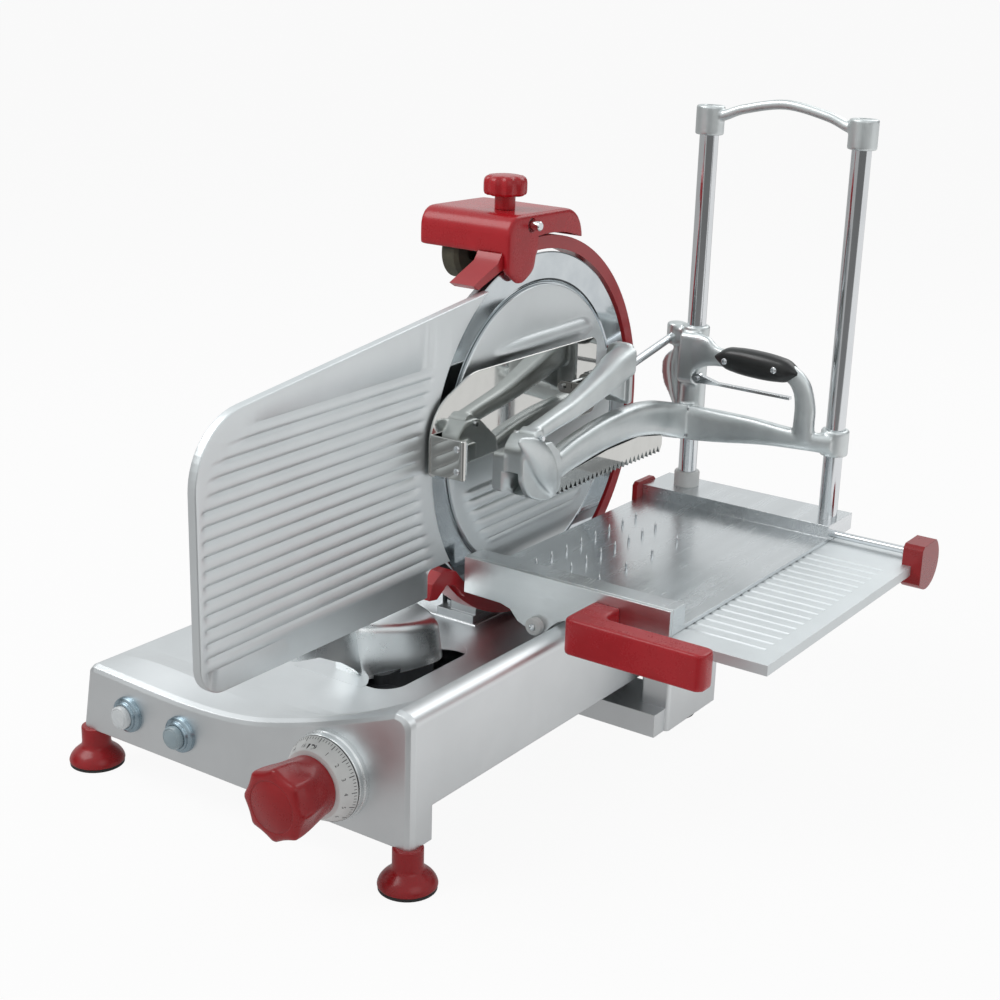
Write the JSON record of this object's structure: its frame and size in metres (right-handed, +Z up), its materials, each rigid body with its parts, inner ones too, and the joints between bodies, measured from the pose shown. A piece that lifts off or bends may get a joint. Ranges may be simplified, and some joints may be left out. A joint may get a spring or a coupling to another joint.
{
  "type": "vertical meat slicer",
  "caption": "Upright round-blade food slicer with gauge plate, push carriage, sliding spiked table, portal press, sharpener, thickness knob and push buttons.",
  "frame": {"origin": "centre of the bounding box in plan, on the surface the feet stand on", "axes": "+X from the gauge plate to the product table, +Y away from the operator who faces the buttons and knob, +Z up"},
  "size_m": [0.6219, 0.734, 0.623],
  "materials": {
    "cast_aluminium": "bead blasted",
    "polished_aluminium": "satin polished",
    "arm_aluminium": "vibratory ground casting",
    "blade_steel": "hard chromed and ground",
    "mirror_steel": "mirror polished stainless",
    "plain_steel": "machined",
    "chrome_bar": "ground and chromed",
    "red_plastic": "glossy moulded",
    "red_paint": "gloss enamel",
    "black_plastic": "satin moulded",
    "white_plastic": "smooth moulded",
    "button_white": "moulded",
    "button_grey": "moulded",
    "dark_rubber": "moulded",
    "stone": "sintered abrasive",
    "motor_paint": "satin",
    "bronze": "sintered"
  },
  "bodies": {
    "machine": {"base_housing": "cast_aluminium", "bottom_cover": "plain_steel", "feet": "red_plastic", "foot_pads": "dark_rubber", "button_bezels": "plain_steel", "dial_bezel": "polished_aluminium", "gauge_guide_rods": "chrome_bar", "blade_bearings": "bronze", "blade_housing": "cast_aluminium", "base_fasteners": "plain_steel", "blade_cover": "polished_aluminium", "tie_rod": "plain_steel", "drive_motor": "motor_paint", "drive_belt": "dark_rubber", "drive_cover": "cast_aluminium", "ring_guard": "red_paint", "carriage_rail": "chrome_bar"},
    "start_cap": {"start_button": "button_white"},
    "stop_cap": {"stop_button": "button_grey"},
    "knob": {"dial_ring": "white_plastic", "thickness_knob": "red_plastic", "knob_shaft": "plain_steel", "thickness_cam": "plain_steel"},
    "gauge": {"gauge_plate": "cast_aluminium", "gauge_carrier": "polished_aluminium", "gauge_screws": "plain_steel"},
    "blade_rotor": {"blade": "blade_steel", "blade_screws": "plain_steel", "blade_shaft": "plain_steel", "blade_pulley": "plain_steel"},
    "motor_rotor": {"motor_pulley": "plain_steel"},
    "cover_nut": {"cover_knob": "red_plastic"},
    "sharpener": {"sharpener_cover": "red_plastic", "stone_yoke": "cast_aluminium"},
    "sharpener_nut": {"sharpener_knob": "red_plastic"},
    "grinding_rotor": {"grinding_stone": "stone"},
    "deburrer": {"deburring_stone": "plain_steel"},
    "carriage": {"rail_bushes": "bronze", "carriage_arm": "cast_aluminium", "carriage_plate": "cast_aluminium", "carriage_apron": "polished_aluminium", "stop_buffer": "white_plastic", "carriage_handle": "red_plastic", "cross_guide_rod": "chrome_bar", "rod_end_caps": "red_plastic"},
    "table": {"slide_table": "mirror_steel", "table_spikes": "chrome_bar", "portal_rods": "chrome_bar", "portal_bridge": "arm_aluminium", "bridge_screws": "plain_steel", "rod_collar": "white_plastic"},
    "press": {"press_frame": "arm_aluminium", "handle_grip": "black_plastic", "grip_screws": "plain_steel", "press_pins": "plain_steel", "toothed_bar": "mirror_steel", "pusher_rod": "chrome_bar"},
    "lever": {"release_lever": "chrome_bar"},
    "claw": {"claw_arm": "arm_aluminium"},
    "pusher": {"pusher_plate": "mirror_steel"}
  },
  "joints": [
    {"name": "carriage_slide", "type": "slide", "parent": "machine", "child": "carriage", "axis": [0, -1, 0], "range_m": [-0.02, 0.165]},
    {"name": "table_slide", "type": "slide", "parent": "carriage", "child": "table", "axis": [1, 0, 0], "range_m": [0, 0.086]},
    {"name": "press_lift", "type": "slide", "parent": "table", "child": "press", "axis": [0, 0, 1], "range_m": [-0.04, 0.11]},
    {"name": "lever_squeeze", "type": "hinge", "parent": "press", "child": "lever", "pos_m": [0.03, 0.323, 0.326], "axis": [0, -1, 0], "range_deg": [0, 4], "stiffness_Nm_per_rad": 0.6, "springref_deg": -2.86},
    {"name": "claw_swing", "type": "hinge", "parent": "press", "child": "claw", "pos_m": [0.017, 0.021, 0.322], "axis": [1, 0, 0], "range_deg": [0, 25]},
    {"name": "pusher_tilt", "type": "hinge", "parent": "press", "child": "pusher", "pos_m": [-0.013, 0.175, 0.337], "axis": [0, 1, 0], "range_deg": [0, 3]},
    {"name": "gauge_slide", "type": "slide", "parent": "machine", "child": "gauge", "axis": [-1, 0, 0], "range_m": [0, 0.02]},
    {"name": "knob_turn", "type": "hinge", "parent": "machine", "child": "knob", "pos_m": [0.0184, -0.295, 0.086], "axis": [0, -1, 0], "range_deg": [0, 330]},
    {"name": "blade_spin", "type": "hinge", "parent": "machine", "child": "blade_rotor", "pos_m": [-0.041, 0.109, 0.303], "axis": [1, 0, 0], "continuous": true},
    {"name": "motor_spin", "type": "hinge", "parent": "machine", "child": "motor_rotor", "pos_m": [-0.12, 0.117, 0.166], "axis": [1, 0, 0], "continuous": true},
    {"name": "cover_knob_turn", "type": "hinge", "parent": "machine", "child": "cover_nut", "pos_m": [-0.15, 0.109, 0.303], "axis": [1, 0, 0], "continuous": true},
    {"name": "sharpener_lift", "type": "slide", "parent": "machine", "child": "sharpener", "axis": [0, 0, 1], "range_m": [0, 0.02]},
    {"name": "sharpener_knob_turn", "type": "hinge", "parent": "sharpener", "child": "sharpener_nut", "pos_m": [-0.067, 0.087, 0.54], "axis": [0, 0, 1], "continuous": true},
    {"name": "grinding_spin", "type": "hinge", "parent": "sharpener", "child": "grinding_rotor", "pos_m": [-0.104, 0.076, 0.476], "axis": [1, 0, 0], "continuous": true},
    {"name": "deburr_press", "type": "slide", "parent": "sharpener", "child": "deburrer", "axis": [-1, 0, 0], "range_m": [0, 0.002], "stiffness_N_per_m": 200, "springref_m": -0.001},
    {"name": "start_press", "type": "slide", "parent": "machine", "child": "start_cap", "axis": [0, 1, 0], "range_m": [0, 0.003], "stiffness_N_per_m": 300, "springref_m": -0.001},
    {"name": "stop_press", "type": "slide", "parent": "machine", "child": "stop_cap", "axis": [0, 1, 0], "range_m": [0, 0.003], "stiffness_N_per_m": 300, "springref_m": -0.001}
  ],
  "couplings": [
    {"joint": "knob_turn", "follows": "gauge_slide", "rad_per_m": 287.9},
    {"joint": "motor_spin", "follows": "blade_spin", "ratio": 3.125}
  ]
}
